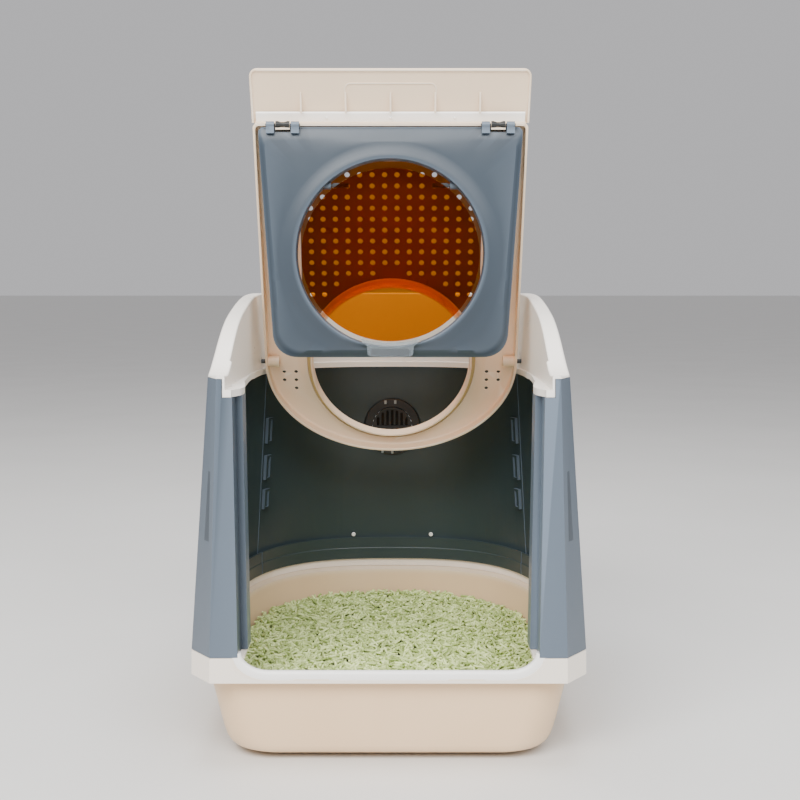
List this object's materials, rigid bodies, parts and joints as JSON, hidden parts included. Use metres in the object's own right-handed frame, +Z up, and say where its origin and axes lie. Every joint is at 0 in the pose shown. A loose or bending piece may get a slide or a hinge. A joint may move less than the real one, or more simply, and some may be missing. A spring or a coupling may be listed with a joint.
{
  "type": "cat litter box with hood",
  "caption": "Hooded cat litter box with a tilting top-exit lid, hanging front panel with a see-through flap, pull-down latch and odour vent, standing open with pellet litter inside",
  "frame": {"origin": "centre of the bounding box, on the floor under the four feet", "axes": "+Z up, front entry faces -Y, +X to the right seen from the front"},
  "size_m": [0.4314, 0.5, 0.7835],
  "materials": {
    "cream_plastic": "satin",
    "blue_grey_plastic": "satin",
    "amber_plate": "satin",
    "amber_clear": "polished",
    "smoke_clear": "polished",
    "black_plastic": "matte",
    "carbon_foam": "matte",
    "pellet_litter": "matte",
    "pin_plastic": "satin",
    "foot_rubber": "matte"
  },
  "bodies": {
    "tray": {"base_tray": "cream_plastic", "tray_foot_front_left": "foot_rubber", "tray_foot_front_right": "foot_rubber", "tray_foot_rear_left": "foot_rubber", "tray_foot_rear_right": "foot_rubber", "litter_bed": "pellet_litter"},
    "hood": {"tray_rim": "cream_plastic", "side_panel_left": "blue_grey_plastic", "side_panel_right": "blue_grey_plastic", "back_panel": "blue_grey_plastic", "wall_peg_left": "cream_plastic", "wall_peg_right": "cream_plastic", "top_collar": "cream_plastic", "vent_ring": "black_plastic", "filter_pad": "carbon_foam", "vent_cap": "black_plastic"},
    "vent": {"vent_grille": "black_plastic"},
    "lid": {"lid": "cream_plastic", "tread_grille": "amber_plate", "lid_pin_left": "pin_plastic", "lid_pin_right": "pin_plastic", "lid_clip_left": "cream_plastic", "lid_clip_right": "cream_plastic"},
    "panel": {"front_panel": "blue_grey_plastic", "panel_pin_left": "pin_plastic", "panel_pin_right": "pin_plastic"},
    "flap": {"door_flap": "amber_clear", "flap_pin_left": "pin_plastic", "flap_pin_right": "pin_plastic"},
    "latch": {"door_latch": "smoke_clear"}
  },
  "joints": [
    {"name": "hood_lift", "type": "slide", "parent": "tray", "child": "hood", "axis": [0, 0, 1], "range_m": [0, 0.12]},
    {"name": "vent_twist", "type": "hinge", "parent": "hood", "child": "vent", "pos_m": [0, 0.232, 0.305], "axis": [0, 1, 0], "range_deg": [0, 30]},
    {"name": "lid_pivot", "type": "hinge", "parent": "hood", "child": "lid", "pos_m": [0, 0.07, 0.413], "axis": [1, 0, 0], "range_deg": [0, 72]},
    {"name": "panel_hinge", "type": "hinge", "parent": "lid", "child": "panel", "pos_m": [0, -0.04693, 0.71463], "axis": [1, 0, 0], "range_deg": [-72, 0]},
    {"name": "flap_hinge", "type": "hinge", "parent": "panel", "child": "flap", "pos_m": [0, -0.03893, 0.63963], "axis": [1, 0, 0], "range_deg": [-65, 22]},
    {"name": "latch_slide", "type": "slide", "parent": "panel", "child": "latch", "axis": [0, 0, 1], "range_m": [-0.008, 0]}
  ],
  "couplings": [
    {"joint": "panel_hinge", "follows": "lid_pivot", "ratio": -1}
  ]
}
